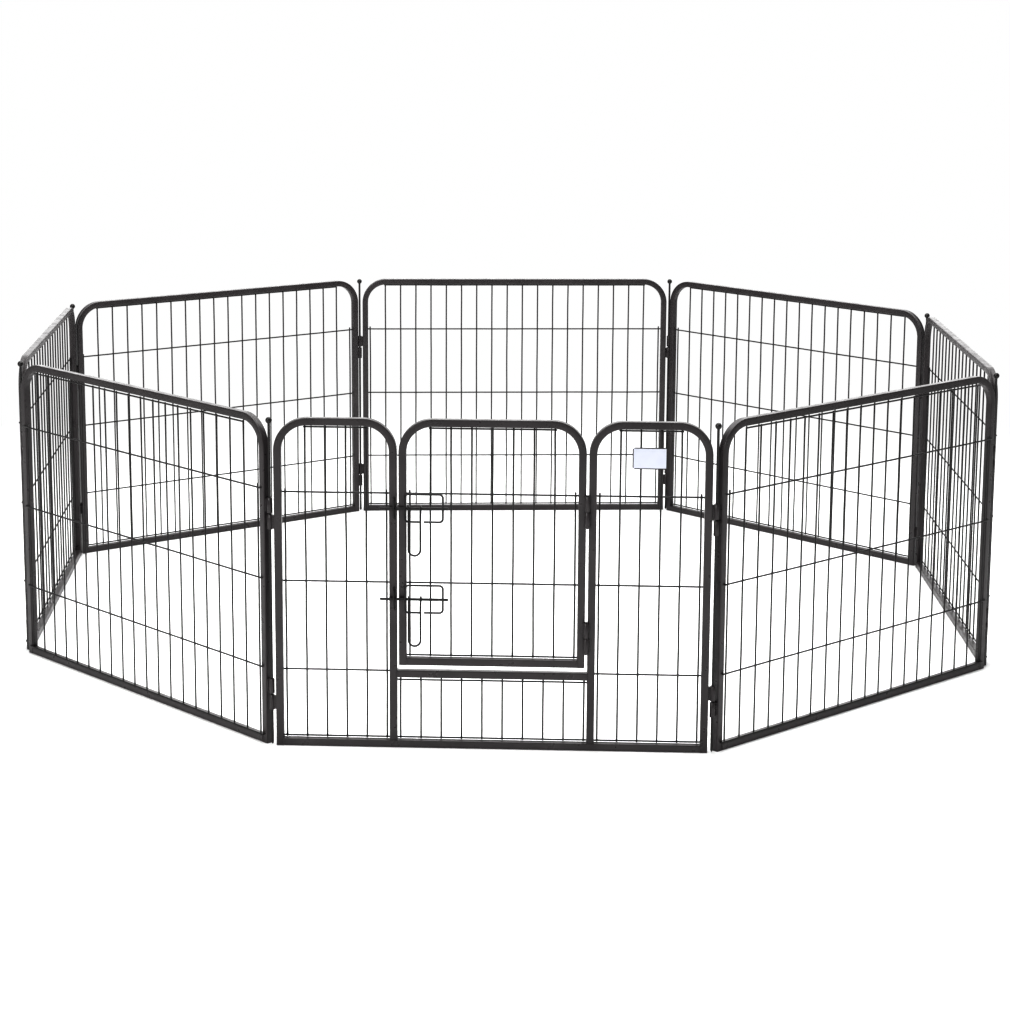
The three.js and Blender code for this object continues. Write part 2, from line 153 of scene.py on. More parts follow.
# Studio, in metres
CAMERA_PLACE = (0.1798, -4.0713, 1.4297)
CAMERA_ANGLES = (-2.224, 10.095, 0.3186)  # yaw, downward pitch and roll, in degrees
CAMERA_FOCAL = 2.2708  # focal length as a share of the picture's width
CAMERA_SHIFT = -0.1287  # the middle of the photo lies off the lens's axis
SENSOR_WIDTH = 36.0
LIGHTS = {
    "overhead": {"place": (0, 0.9, 3.6), "target": (0, 0.9, 0), "side": 4.0, "power": 220},
    "key": {"place": (-2.4, -3.6, 2.6), "target": (0, 0.3, 0.3), "side": 2.0, "power": 150},
}
SKY_DIM = 0.35
SKY_BRIGHT = 2.7
SKY_TURN = (0.35, 0.95)  # how far towards +Y a direction points where the sky goes from dim to bright
FLOOR_REACH = 60.0
FLOOR_FADE = (1.3, 2.6)  # distances from the pen's middle between which the floor turns white
PEN_MIDDLE = (0.0, 0.97, 0.0)
CONTRAST = 0.68  # gamma of the view

# The card on the right bay, in millimetres
CARD = {"left": 254.0, "bottom": 533.0, "width": 63.0, "height": 40.0}
CARD_FRONT = 3.2
CARD_THICKNESS = 1.2
CARD_BORDER = 1.7
CARD_CORNER = 3.0
CARD_BOW = 0.35


# ---------------------------------------------------------------- mesh building


class Shell:
    """Closed surfaces gathered into one mesh, in millimetres."""

    def __init__(self):
        self.points = []
        self.faces = []

    def skin(self, rings, closed=False):
        """Joins rings of equal length, in order. An open run of rings gets a flat face on each end."""
        size = len(rings[0])
        first = len(self.points)
        for ring in rings:
            self.points.extend(ring)
        runs = len(rings) if closed else len(rings) - 1
        for row in range(runs):
            here = first + row * size
            there = first + (row + 1) % len(rings) * size
            for k in range(size):
                after = (k + 1) % size
                self.faces.append((here + k, here + after, there + after, there + k))
        if not closed:
            last = first + (len(rings) - 1) * size
            self.faces.append(tuple(reversed(range(first, first + size))))
            self.faces.append(tuple(range(last, last + size)))

    def sweep(self, path, sections, side, closed=False):
        """Runs a section along a path. A section's second number measures along side at the start, and that
        direction is carried along the path without twisting."""
        rings = []
        count = len(path)
        across = side
        for k, point in enumerate(path):
            before = path[k - 1] if closed or k else point
            after = path[(k + 1) % count] if closed or k + 1 < count else point
            along = (after - before).normalized()
            across = (across - along * across.dot(along)).normalized()
            out = along.cross(across)
            rings.append([point + out * a + across * b for a, b in sections[k]])
        self.skin(rings, closed)

    def wire(self, path, radius, sides=10, side=Y_AXIS):
        """Round wire along a path, with its cut ends slightly rounded."""
        start = path[0] + (path[1] - path[0]).normalized() * radius * TIP_LENGTH
        end = path[-1] + (path[-2] - path[-1]).normalized() * radius * TIP_LENGTH
        sizes = [radius * TIP_SIZE, *[radius] * len(path), radius * TIP_SIZE]
        path = [path[0], start, *path[1:-1], end, path[-1]]
        self.sweep(path, [circle(size, sides) for size in sizes], side)

    def turn(self, profile, centre, sides=20, axis=Z_AXIS):
        """Turns a profile of (radius, distance along the axis) about an axis. A profile that ends where it
        starts makes a ring with a bore."""
        side = X_AXIS if abs(axis.dot(X_AXIS)) < 0.5 else Y_AXIS
        other = axis.cross(side)
        rings = []
        for radius, reach in profile:
            spokes = [2 * math.pi * k / sides for k in range(sides)]
            rings.append(
                [centre + axis * reach + (side * math.cos(a) + other * math.sin(a)) * radius for a in spokes]
            )
        hollow = profile[0] == profile[-1]
        self.skin(rings[:-1] if hollow else rings, closed=hollow)

    def bead(self, path, radius, seed, side=Y_AXIS, closed=False):
        """A run of weld: overlapping ripples, tapering off at the ends of an open run."""
        spots = resample(path, 0.9, closed)
        sections = []
        for k, spot in enumerate(spots):
            ripple = 0.84 + 0.16 * abs(math.sin(k * 0.9)) + 0.16 * noise.noise(spot * 0.35 + X_AXIS * seed)
            fade = 1.0 if closed else min(1.0, 0.35 + 0.3 * min(k, len(spots) - 1 - k))
            sections.append(circle(radius * ripple * fade, 8))
        self.sweep(spots, sections, side, closed)

    def nugget(self, centre, size, seed):
        """A spot of weld metal where two wires cross: a squashed, slightly uneven drop."""
        rings = []
        for row in range(5):
            rise = -0.92 + 1.84 * row / 4
            reach = math.sqrt(1 - rise * rise)
            ring = []
            for k in range(7):
                a = 2 * math.pi * k / 7
                swell = 1 + 0.22 * noise.noise(Vector((seed * 1.7 + k, row * 0.8, seed)))
                spot = Vector((math.cos(a) * reach * size[0], rise * size[1], math.sin(a) * reach * size[2]))
                ring.append(centre + spot * swell)
            rings.append(ring)
        self.skin(rings)


def circle(radius, sides):
    return [
        (radius * math.cos(2 * math.pi * k / sides), radius * math.sin(2 * math.pi * k / sides))
        for k in range(sides)
    ]


def resample(path, step, closed=False):
    """The path again, with a point about every step."""
    legs = list(zip(path, path[1:] + path[:1] if closed else path[1:]))
    spots = []
    for start, end in legs:
        count = max(1, round((end - start).length / step))
        spots.extend(start.lerp(end, k / count) for k in range(count))
    if not closed:
        spots.append(path[-1])
    return spots


def filleted(corners, radius, steps=6):
    """An open polyline with its inner corners rounded."""
    path = [corners[0]]
    for k, corner in enumerate(corners[1:-1], 1):
        before = (corners[k - 1] - corner).normalized()
        after = (corners[k + 1] - corner).normalized()
        half = before.angle(after) / 2
        reach = radius / math.tan(half)
        centre = corner + (before + after).normalized() * radius / math.sin(half)
        start = corner + before * reach - centre
        end = corner + after * reach - centre
        sweep = start.angle(end)
        for step in range(steps + 1):
            share = step / steps
            mix = start * math.sin((1 - share) * sweep) + end * math.sin(share * sweep)
            path.append(centre + mix / math.sin(sweep))
    path.append(corners[-1])
    return path


def tube_section(half, corner, bend=0.0, ripple=0.0):
    """A square section with round corners, as (outwards, across). bend 0 to 1 gives it the shape that a bent
    tube takes: the outer wall sinks, the side walls swell and the inner wall ripples."""
    inner = half - corner
    flats = (inner * 0.96, inner * 0.5, 0.0, -inner * 0.5, -inner * 0.96)
    section = []
    for quarter in range(4):
        turned = [(0, 1), (1, 0), (0, -1), (-1, 0)][quarter]
        walk = (turned[1], -turned[0])
        for place in flats:
            share = 1 - (place / inner) ** 2
            push = {0: 0.35, 1: -1.0, 2: 0.35, 3: ripple}[quarter] * bend * share
            out = turned[0] * (half + push) - walk[0] * place
            over = turned[1] * (half + push) - walk[1] * place
            section.append((out, over))
        for step in range(1, 4):
            a = math.pi / 8 * step
            along = inner + math.cos(a) * corner
            over = inner + math.sin(a) * corner
            section.append((along * turned[0] + over * walk[0], along * turned[1] + over * walk[1]))
    return section


def finish_mesh(shell, node, material, place=Matrix.Identity(4)):
    """Makes the mesh that stands for a CAD node, and lets it ride on the node's body."""
    mesh = bpy.data.meshes.new(node)
    mesh.from_pydata([point * MM for point in shell.points], [], shell.faces)
    mesh.transform(place)
    work = bmesh.new()
    work.from_mesh(mesh)
    bmesh.ops.recalc_face_normals(work, faces=work.faces)
    work.to_mesh(mesh)
    work.free()
    mesh.shade_smooth()
    mesh.set_sharp_from_angle(angle=math.radians(46))
    mesh.materials.append(material["blender"])
    piece = bpy.data.objects.new(node + "_look", mesh)
    bpy.context.scene.collection.objects.link(piece)
    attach(piece, frame["nodes"][node]["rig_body"])
    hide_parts(node)


# ---------------------------------------------------------------- tubes, rails and hinges


def hoop(shell, left, right, left_foot, right_foot):
    """Two stiles and a top, bent from one square tube."""
    middle = HEIGHT - FACE - BEND_RADIUS
    bends = [
        (Vector((left + FACE + BEND_RADIUS, 0, middle)), math.pi, math.pi / 2),
        (Vector((right - FACE - BEND_RADIUS, 0, middle)), math.pi / 2, 0.0),
    ]
    straight = tube_section(FACE, TUBE_CORNER)
    cut = tube_section(FACE - CUT_EDGE, TUBE_CORNER)
    path = [Vector((left + FACE, 0, left_foot)), Vector((left + FACE, 0, left_foot + CUT_EDGE))]
    sections = [cut, straight]
    for centre, start, end in bends:
        for step in range(BEND_STEPS + 1):
            share = step / BEND_STEPS
            angle = start + (end - start) * share
            path.append(centre + Vector((math.cos(angle), 0, math.sin(angle))) * BEND_RADIUS)
            depth = math.sin(math.pi * share) ** 0.6
            ripple = RIPPLE_DEPTH * math.sin(BEND_RIPPLES * math.pi * share)
            sections.append(tube_section(FACE, TUBE_CORNER, depth, ripple))
    path += [Vector((right - FACE, 0, right_foot + CUT_EDGE)), Vector((right - FACE, 0, right_foot))]
    sections += [straight, cut]
    shell.sweep(path, sections, Y_AXIS)


def rail(shell, left, right, foot, seed):
    """A straight square tube between two stiles, with a run of weld round each end."""
    height = foot + FACE
    ends = [Vector((left - 0.3, 0, height)), Vector((right + 0.3, 0, height))]
    shell.sweep(ends, [tube_section(FACE - 0.05, TUBE_CORNER)] * 2, Y_AXIS)
    for k, end in enumerate(ends):
        seam = [end + Vector((0, y, max(z, WELD - FACE))) for z, y in tube_section(FACE - 0.1, TUBE_CORNER)]
        shell.bead(seam, WELD, seed + k, side=X_AXIS, closed=True)


def foot_weld(shell, x, height, seed):
    """The weld round a stile that stands on a rail."""
    seam = [Vector((x + a, b, height)) for a, b in tube_section(FACE - 0.1, TUBE_CORNER)]
    shell.bead(seam, WELD, seed, side=Z_AXIS, closed=True)


def barrel(shell, centre, radius, bore, height):
    """A short tube with its edges broken, standing on centre."""
    edge = 0.4
    profile = [
        (radius - edge, 0),
        (radius, edge),
        (radius, height - edge),
        (radius - edge, height),
        (bore + edge, height),
        (bore, height - edge),
        (bore, edge),
        (bore + edge, 0),
        (radius - edge, 0),
    ]
    shell.turn(profile, centre, 24)


def corner_knuckle(shell, end, foot, seed):
    """A hinge tube on a panel's end, on a small web welded to the stile. end is 1 or -1."""
    centre = Vector((end * (HALF_WIDTH + PIN_GAP), 0, foot))
    barrel(shell, centre, KNUCKLE_RADIUS, KNUCKLE_BORE, KNUCKLE_HEIGHT)
    web = [Vector((end * (HALF_WIDTH + 2.2), 0, foot + rise)) for rise in (1.2, 1.8, KNUCKLE_HEIGHT - 1.8)]
    web.append(web[0] + Z_AXIS * (KNUCKLE_HEIGHT - 2.4))
    full = [(a * 0.42, b * 0.44) for a, b in tube_section(FACE, 3.0)]
    ends = [(a * 0.9, b * 0.9) for a, b in full]
    shell.sweep(web, [ends, full, full, ends], Y_AXIS)
    for hand in (-1, 1):
        x, y = end * (HALF_WIDTH + 0.5), hand * 3.5
        line = [Vector((x, y, foot + rise)) for rise in (2, KNUCKLE_HEIGHT - 2)]
        shell.bead(line, 1.5, seed + hand, side=Y_AXIS)


def corner_knuckles(shell, end, seed):
    for foot in FAR_KNUCKLES if end > 0 else NEAR_KNUCKLES:
        corner_knuckle(shell, end, foot, seed + foot)


def door_knuckle(shell, hand, foot, seed):
    """Half of a door hinge. hand is -1 for the half on the door's stile, 1 for the half on the bay's."""
    barrel(shell, DOOR_AXIS + Z_AXIS * foot, DOOR_KNUCKLE, DOOR_KNUCKLE_BORE, DOOR_KNUCKLE_HEIGHT)
    for reach, depth, size in ((3.9, 3.9, 1.9), (5.6, 4.9, 1.3)):
        start = DOOR_AXIS + Vector((hand * reach, depth, foot + 1.5))
        shell.bead([start, start + Z_AXIS * (DOOR_KNUCKLE_HEIGHT - 3)], size, seed + reach)


def plain_hoop(seed):
    shell = Shell()
    hoop(shell, -HALF_WIDTH, HALF_WIDTH, 0, 0)
    corner_knuckles(shell, 1, seed)
    corner_knuckles(shell, -1, seed + 5)
    return shell


def left_bay_hoop():
    shell = Shell()
    hoop(shell, -HALF_WIDTH, LEFT_BAY_END, 0, TUBE)
    corner_knuckles(shell, -1, 3)
    foot_weld(shell, LEFT_BAY_END - FACE, TUBE, 11)
    return shell


def right_bay_hoop():
    shell = Shell()
    hoop(shell, RIGHT_BAY_START, HALF_WIDTH, TUBE, 0)
    corner_knuckles(shell, 1, 7)
    foot_weld(shell, RIGHT_BAY_START + FACE, TUBE, 13)
    for meeting in DOOR_HINGES.values():
        door_knuckle(shell, 1, meeting - DOOR_KNUCKLE_PLAY - DOOR_KNUCKLE_HEIGHT, meeting)
    return shell


def door_hoop():
    shell = Shell()
    hoop(shell, -DOOR_HALF, DOOR_HALF, DOOR_FOOT, DOOR_FOOT)
    for meeting in DOOR_HINGES.values():
        door_knuckle(shell, -1, meeting + DOOR_KNUCKLE_PLAY, meeting + 1)
    return shell


def straight_rail(left, right, foot, seed):
    shell = Shell()
    rail(shell, left, right, foot, seed)
    return shell


def drop_pin():
    """A rod with a blunt point at its foot and a ball on top."""
    profile = [
        (0.5, PIN_FOOT),
        (1.5, PIN_FOOT + 0.6),
        (PIN_RADIUS, PIN_FOOT + 3.5),
        (PIN_RADIUS, BALL_HEIGHT - BALL_RADIUS - 0.8),
    ]
    steps = 12
    low = math.asin((PIN_RADIUS + 0.5) / BALL_RADIUS)
    for step in range(steps + 1):
        angle = math.pi - low - (math.pi - low - 0.08) * step / steps
        profile.append((BALL_RADIUS * math.sin(angle), BALL_HEIGHT + BALL_RADIUS * math.cos(angle)))
    shell = Shell()
    shell.turn(profile, Vector((0, 0, 0)), 20)
    return shell


def door_pin(meeting):
    """A pin with a low domed head, through the two knuckles that meet at this height."""
    neck = meeting + DOOR_KNUCKLE_PLAY + 0.5 + DOOR_KNUCKLE_HEIGHT
    profile = [
        (DOOR_PIN - 0.5, meeting - DOOR_KNUCKLE_HEIGHT - 2),
        (DOOR_PIN, meeting - DOOR_KNUCKLE_HEIGHT - 1.4),
        (DOOR_PIN, neck),
        (3.2, neck),
        (3.4, neck + 0.3),
        (3.1, neck + 1.0),
        (2.0, neck + 1.5),
        (0.6, neck + 1.7),
    ]
    shell = Shell()
    shell.turn(profile, DOOR_AXIS, 18)
    return shell


# ---------------------------------------------------------------- wire mesh


def sway(seed, along):
    """How far a wire wanders off its line, as real drawn wire does."""
    slow = noise.noise(Vector((seed * 3.7, along * 0.012, seed)))
    quick = noise.noise(Vector((seed * 1.3, along * 0.05, 4.2)))
    return SWAY * slow + FINE_SWAY * quick


def upright_wire(shell, place, y, foot, top, seed):
    count = max(3, round((top - foot) / 22))
    heights = [foot + (top - foot) * k / count for k in range(count + 1)]
    shell.wire([Vector((place + sway(seed, z), y + sway(seed + 50, z) * 0.4, z)) for z in heights], WIRE)


def level_wire(shell, left, right, y, height, seed):
    count = max(3, round((right - left) / 26))
    places = [left + (right - left) * k / count for k in range(count + 1)]
    path = [Vector((x, y + sway(seed + 50, x) * 0.3, height + sway(seed, x) * 0.7)) for x in places]
    shell.wire(path, WIRE, side=Y_AXIS)


def wire_mesh(left, right, count, foot, top, wires, side, seed):
    """Uprights and horizontals with a spot of weld at each crossing and where a wire meets a tube."""
    shell = Shell()
    top_wire, edge_top = wires["top"], wires["edge_top"]
    rails = (foot + FOOT_WIRE_RISE, *wires["rails"])
    first = left + EDGE_INSET
    pitch = (right - left - 2 * EDGE_INSET) / (count - 1)
    uprights = [(first + k * pitch, seed + k * 1.37, k in (0, count - 1)) for k in range(count)]
    levels = [(z, left - STILE_LAP, right + STILE_LAP, seed + 31 + z * 0.01) for z in rails]
    if top_wire:
        levels.append((top_wire, uprights[1][0] - 3, uprights[-2][0] + 3, seed + 40))
    middle = side * (UPRIGHT_Y + RAIL_WIRE_Y) / 2
    for x, wire_seed, is_edge in uprights:
        upright_wire(shell, x, side * UPRIGHT_Y, foot, edge_top if is_edge else top, wire_seed)
    for z, start, end, wire_seed in levels:
        level_wire(shell, start, end, side * RAIL_WIRE_Y, z, wire_seed)
        for x, upright_seed, is_edge in uprights:
            if start < x < end and z < (edge_top if is_edge else top):
                spot = Vector((x + sway(upright_seed, z), middle, z + sway(wire_seed, x) * 0.7))
                shell.nugget(spot, CROSSING_WELD, wire_seed + x * 0.1)
        if z != top_wire:
            for x in (start + 1.6, end - 1.6):
                spot = Vector((x, side * (FACE + 0.7), z + sway(wire_seed, x) * 0.7))
                shell.nugget(spot, TUBE_WELD, wire_seed + x)
    return shell


def plain_mesh(seed):
    inner = HALF_WIDTH - TUBE
    return wire_mesh(-inner, inner, 20, TUBE + MESH_GAP, UPRIGHT_TOP, PLAIN_WIRES, OUTSIDE, seed)


def bay_mesh(left, right, seed):
    return wire_mesh(left, right, 6, TUBE + MESH_GAP, UPRIGHT_TOP, FRONT_WIRES, INSIDE, seed)


def lower_mesh(seed):
    top = CROSS_RAIL - 0.4
    wires = {"rails": (LOWER_TOP_WIRE,), "top": None, "edge_top": top}
    return wire_mesh(LEFT_BAY_END, RIGHT_BAY_START, 10, TUBE + MESH_GAP, top, wires, INSIDE, seed)


def door_mesh(seed):
    inner = DOOR_HALF - TUBE
    foot = DOOR_FOOT + TUBE + MESH_GAP
    wires = {**FRONT_WIRES, "rails": FRONT_WIRES["rails"][1:]}
    return wire_mesh(-inner, inner, 9, foot, UPRIGHT_TOP, wires, INSIDE, seed)


# ---------------------------------------------------------------- slide bolts


def bolt(height):
    """A straight rod with its ends eased."""
    start, end = BOLT_ENDS
    profile = [
        (BOLT - 0.9, start),
        (BOLT, start + 0.8),
        (BOLT, (start + end) / 2),
        (BOLT, end - 0.8),
        (BOLT - 0.9, end),
    ]
    shell = Shell()
    shell.turn(profile, Vector((0, BOLT_Y, height)), 16, X_AXIS)
    return shell


def keeper(height):
    """A staple of wire on the left bay's stile, in front of the bolt's tip."""
    back = -FACE - 0.1
    corners = [
        Vector((KEEPER_X, back, height - KEEPER_REACH)),
        Vector((KEEPER_X, GUARD_Y, height - KEEPER_REACH)),
        Vector((KEEPER_X, GUARD_Y, height + KEEPER_REACH)),
        Vector((KEEPER_X, back, height + KEEPER_REACH)),
    ]
    shell = Shell()
    shell.wire(filleted(corners, 3.6), LATCH_WIRE, 12, X_AXIS)
    for k, corner in enumerate((corners[0], corners[3])):
        shell.nugget(corner + Vector((0, -0.2, 0)), LATCH_WELD, height + k)
    return shell


def guard(height):
    """A loop of wire on the door, open at the slot that the handle hangs in."""
    left, right = GUARD_ENDS
    foot = height - GUARD_BELOW
    top = height + GUARD_ABOVE
    corners = [
        Vector((GUARD_SLOT[1], GUARD_Y, foot)),
        Vector((right, GUARD_Y, foot)),
        Vector((right, GUARD_Y, top)),
        Vector((left, GUARD_Y, top)),
        Vector((left, GUARD_Y, foot)),
        Vector((GUARD_SLOT[0], GUARD_Y, foot)),
    ]
    shell = Shell()
    shell.wire(filleted(corners, 6.5), LATCH_WIRE, 12, Y_AXIS)
    for k, z in enumerate((foot + 7, top - 7)):
        shell.wire([Vector((left, GUARD_Y, z)), Vector((left, -FACE - 0.1, z))], LATCH_WIRE, 12, X_AXIS)
        shell.nugget(Vector((left, -FACE - 0.3, z)), LATCH_WELD, height + k)
        shell.nugget(Vector((left, GUARD_Y + 1.2, z)), (2.0, 1.4, 2.4), height + k + 2)
    return shell


def handle(height):
    """A U of wire, hooked over the bolt at the top of each leg."""
    wrap = BOLT + LATCH_WIRE + 0.35
    hook = []
    for step in range(13):
        angle = math.radians(-60 + 230 * step / 12)
        hook.append(Vector((0, BOLT_Y + wrap * math.cos(angle), height + wrap * math.sin(angle))))
    left, right = HANDLE_LEGS
    half = (right - left) / 2
    shoulder = [Vector((0, HANDLE_Y + 1.2, height - 9)), Vector((0, HANDLE_Y, height - 15))]
    leg = hook + shoulder
    path = [point + X_AXIS * left for point in leg]
    for step in range(17):
        angle = math.pi + math.pi * step / 16
        spot = Vector((left + half + half * math.cos(angle), HANDLE_Y, height - HANDLE_DROP + half))
        path.append(spot + Z_AXIS * half * math.sin(angle))
    path += [point + X_AXIS * right for point in reversed(leg)]
    shell = Shell()
    shell.wire(path, LATCH_WIRE, 12, X_AXIS)
    return shell


def blank_card():
    """A thin card with round corners and a slight bow."""
    width, height = CARD["width"], CARD["height"]
    columns = 14
    rings = []
    for column in range(columns + 1):
        share = column / columns
        nearest = min(share, 1 - share) * width
        inset = max(0.0, CARD_CORNER - nearest)
        drop = CARD_CORNER - math.sqrt(CARD_CORNER**2 - inset**2)
        bow = CARD_BOW * math.sin(math.pi * share)
        x = CARD["left"] + share * width
        y = CARD_FRONT + CARD_BOW - bow
        low, high = CARD["bottom"] + drop, CARD["bottom"] + height - drop
        heights = [low + (high - low) * k / 6 for k in range(7)]
        front = [Vector((x, y, z)) for z in heights]
        back = [Vector((x, y + CARD_THICKNESS * 0.6, z)) for z in reversed(heights)]
        rings.append(front + back)
    shell = Shell()
    shell.skin(rings)
    return shell


# ---------------------------------------------------------------- materials


class Paint:
    """A material under construction: adds nodes and joins them up."""

    def __init__(self, name):
        self.material = bpy.data.materials.new(name)
        self.material.use_nodes = True
        self.nodes = self.material.node_tree.nodes
        self.links = self.material.node_tree.links
        self.surface = self.nodes["Principled BSDF"]
        self.place = self.nodes.new("ShaderNodeTexCoord").outputs["Object"]

    def noise(self, scale, detail):
        node = self.nodes.new("ShaderNodeTexNoise")
        node.inputs["Scale"].default_value = scale
        node.inputs["Detail"].default_value = detail
        self.links.new(self.place, node.inputs["Vector"])
        return node.outputs["Fac"]

    def cells(self, scale):
        node = self.nodes.new("ShaderNodeTexVoronoi")
        node.inputs["Scale"].default_value = scale
        self.links.new(self.place, node.inputs["Vector"])
        return node.outputs["Distance"]

    def span(self, value, low, high, start=0.0, end=1.0):
        """Maps a value from low..high to start..end, held inside that."""
        node = self.nodes.new("ShaderNodeMapRange")
        node.inputs["From Min"].default_value = low
        node.inputs["From Max"].default_value = high
        node.inputs["To Min"].default_value = start
        node.inputs["To Max"].default_value = end
        self.links.new(value, node.inputs["Value"])
        return node.outputs["Result"]

    def blend(self, share, first, second):
        """A colour between two others. Each is a colour or a node's output."""
        node = self.nodes.new("ShaderNodeMix")
        node.data_type = "RGBA"
        self.links.new(share, node.inputs["Factor"])
        for socket, colour in ((node.inputs["A"], first), (node.inputs["B"], second)):
            if isinstance(colour, tuple):
                socket.default_value = (*colour, 1)
            else:
                self.links.new(colour, socket)
        return node.outputs["Result"]

    def math(self, operation, first, second):
        node = self.nodes.new("ShaderNodeMath")
        node.operation = operation
        for socket, value in zip(node.inputs, (first, second)):
            if isinstance(value, (int, float)):
                socket.default_value = value
            else:
                self.links.new(value, socket)
        return node.outputs["Value"]

    def bump(self, height, distance, strength, under=None):
        node = self.nodes.new("ShaderNodeBump")
        node.inputs["Distance"].default_value = distance
        node.inputs["Strength"].default_value = strength
        self.links.new(height, node.inputs["Height"])
        if under is not None:
            self.links.new(under, node.inputs["Normal"])
        return node.outputs["Normal"]

    def put(self, socket, value):
        if hasattr(value, "links"):
            self.links.new(value, self.surface.inputs[socket])
        else:
            self.surface.inputs[socket].default_value = value


def powder_coat(name, slot, dark, light, rough, grain):
    """Baked powder coat on steel: a fine orange peel, patchy sheen, and pale dust in the pores."""
    paint = Paint(name)
    patches = paint.span(paint.noise(14, 4), 0.35, 0.68)
    colour = paint.blend(patches, dark, light)
    specks = paint.span(paint.cells(1500), 0.12, 0.05)
    dust = paint.math("MULTIPLY", specks, paint.span(paint.noise(70, 3), 0.5, 0.75, 0.0, 0.35))
    paint.put("Base Color", paint.blend(dust, colour, (0.30, 0.29, 0.29)))
    paint.put("Metallic", 0.0)
    paint.put("Specular IOR Level", 0.5)
    sheen = paint.span(paint.noise(45, 3), 0.3, 0.7, rough - 0.06, rough + 0.08)
    paint.put("Roughness", sheen)
    peel = paint.bump(paint.noise(900, 2), 0.00012, 0.55 * grain)
    paint.put("Normal", paint.bump(paint.noise(150, 2), 0.00012, 0.35 * grain, peel))
    return {"blender": paint.material, "slot": slot}


def card_stock():
    """Pale blue-grey card with a thin dark border and a faint paper grain. It carries no print."""
    paint = Paint("white_card")
    parts = paint.nodes.new("ShaderNodeSeparateXYZ")
    paint.links.new(paint.place, parts.inputs["Vector"])
    low_x, low_z = CARD["left"] * MM, CARD["bottom"] * MM
    middle_x = low_x + CARD["width"] * MM / 2
    middle_z = low_z + CARD["height"] * MM / 2
    off_x = paint.math("ABSOLUTE", paint.math("SUBTRACT", parts.outputs["X"], middle_x), 0)
    off_z = paint.math("ABSOLUTE", paint.math("SUBTRACT", parts.outputs["Z"], middle_z), 0)
    from_side = paint.math("SUBTRACT", CARD["width"] * MM / 2, off_x)
    from_end = paint.math("SUBTRACT", CARD["height"] * MM / 2, off_z)
    edge = paint.math("MINIMUM", from_side, from_end)
    line = paint.span(edge, (CARD_BORDER + 0.3) * MM, CARD_BORDER * MM)
    stock = paint.blend(paint.noise(60, 3), (0.60, 0.62, 0.69), (0.65, 0.67, 0.74))
    paint.put("Base Color", paint.blend(line, stock, (0.03, 0.028, 0.03)))
    paint.put("Roughness", paint.span(paint.noise(200, 2), 0.3, 0.7, 0.45, 0.6))
    paint.put("Normal", paint.bump(paint.noise(2500, 2), 0.00005, 0.4))
    return {"blender": paint.material, "slot": "card"}


tube_coat = powder_coat(
    "tube_powder_coat",
    "powder_coat",
    dark=(0.032, 0.028, 0.029),
    light=(0.044, 0.039, 0.040),
    rough=0.32,
    grain=1.0,
)
wire_coat = powder_coat(
    "wire_powder_coat",
    "coated_wire",
    dark=(0.009, 0.008, 0.008),
    light=(0.015, 0.014, 0.014),
    rough=0.40,
    grain=0.6,
)
steel_coat = powder_coat(
    "latch_black_coat",
    "dark_steel",
    dark=(0.008, 0.007, 0.007),
    light=(0.014, 0.013, 0.013),
    rough=0.34,
    grain=0.6,
)
card_paper = card_stock()


# ---------------------------------------------------------------- assembly


def middle_of(node):
    low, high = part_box(node)
    return (low + high) / 2


def panel_places():
    """Each plain panel's name and its place in the frame, from the drop pins at its two ends."""
    names = ["front", "front_right", "right", "back_right", "back", "back_left", "left", "front_left"]
    pins = [middle_of(f"pin_{names[k - 1]}_to_{names[k]}") for k in range(len(names))]
    places = {}
    for k, name in enumerate(names):
        start, end = pins[k], pins[(k + 1) % len(pins)]
        turn = math.atan2(end.y - start.y, end.x - start.x)
        middle = Vector(((start.x + end.x) / 2, (start.y + end.y) / 2, 0))
        places[name] = Matrix.Translation(middle) @ Matrix.Rotation(turn, 4, "Z")
    return places


def build_plain_panels():
    inner = HALF_WIDTH - TUBE
    for k, (name, place) in enumerate(panel_places().items()):
        if name == "front":
            continue
        finish_mesh(plain_hoop(20 + k), f"{name}_hoop", tube_coat, place)
        finish_mesh(straight_rail(-inner, inner, 0, 40 + k), f"{name}_bottom_rail", tube_coat, place)
        finish_mesh(plain_mesh(60 + k * 23), f"{name}_mesh", wire_coat, place)


def build_front_panel():
    inner = HALF_WIDTH - TUBE
    finish_mesh(left_bay_hoop(), "front_left_bay_hoop", tube_coat)
    finish_mesh(right_bay_hoop(), "front_right_bay_hoop", tube_coat)
    finish_mesh(straight_rail(-inner, inner, 0, 51), "front_bottom_rail", tube_coat)
    cross = straight_rail(LEFT_BAY_END, RIGHT_BAY_START, CROSS_RAIL, 53)
    finish_mesh(cross, "front_cross_rail", tube_coat)
    finish_mesh(bay_mesh(-inner, LEFT_BAY_END - TUBE, 301), "front_left_bay_mesh", wire_coat)
    finish_mesh(bay_mesh(RIGHT_BAY_START + TUBE, inner, 331), "front_right_bay_mesh", wire_coat)
    finish_mesh(lower_mesh(361), "front_lower_mesh", wire_coat)
    finish_mesh(blank_card(), "blank_card", card_paper)


def build_door_and_latches():
    inner = DOOR_HALF - TUBE
    finish_mesh(door_hoop(), "door_hoop", tube_coat)
    finish_mesh(straight_rail(-inner, inner, DOOR_FOOT, 57), "door_bottom_rail", tube_coat)
    finish_mesh(door_mesh(391), "door_mesh", wire_coat)
    for place, height in LATCHES.items():
        finish_mesh(bolt(height), f"latch_bolt_{place}", steel_coat)
        finish_mesh(handle(height), f"latch_handle_{place}", steel_coat)
        finish_mesh(guard(height), f"latch_guard_{place}", steel_coat)
        finish_mesh(keeper(height), f"latch_keeper_{place}", steel_coat)
    for place, meeting in DOOR_HINGES.items():
        finish_mesh(door_pin(meeting), f"door_hinge_pin_{place}", steel_coat)


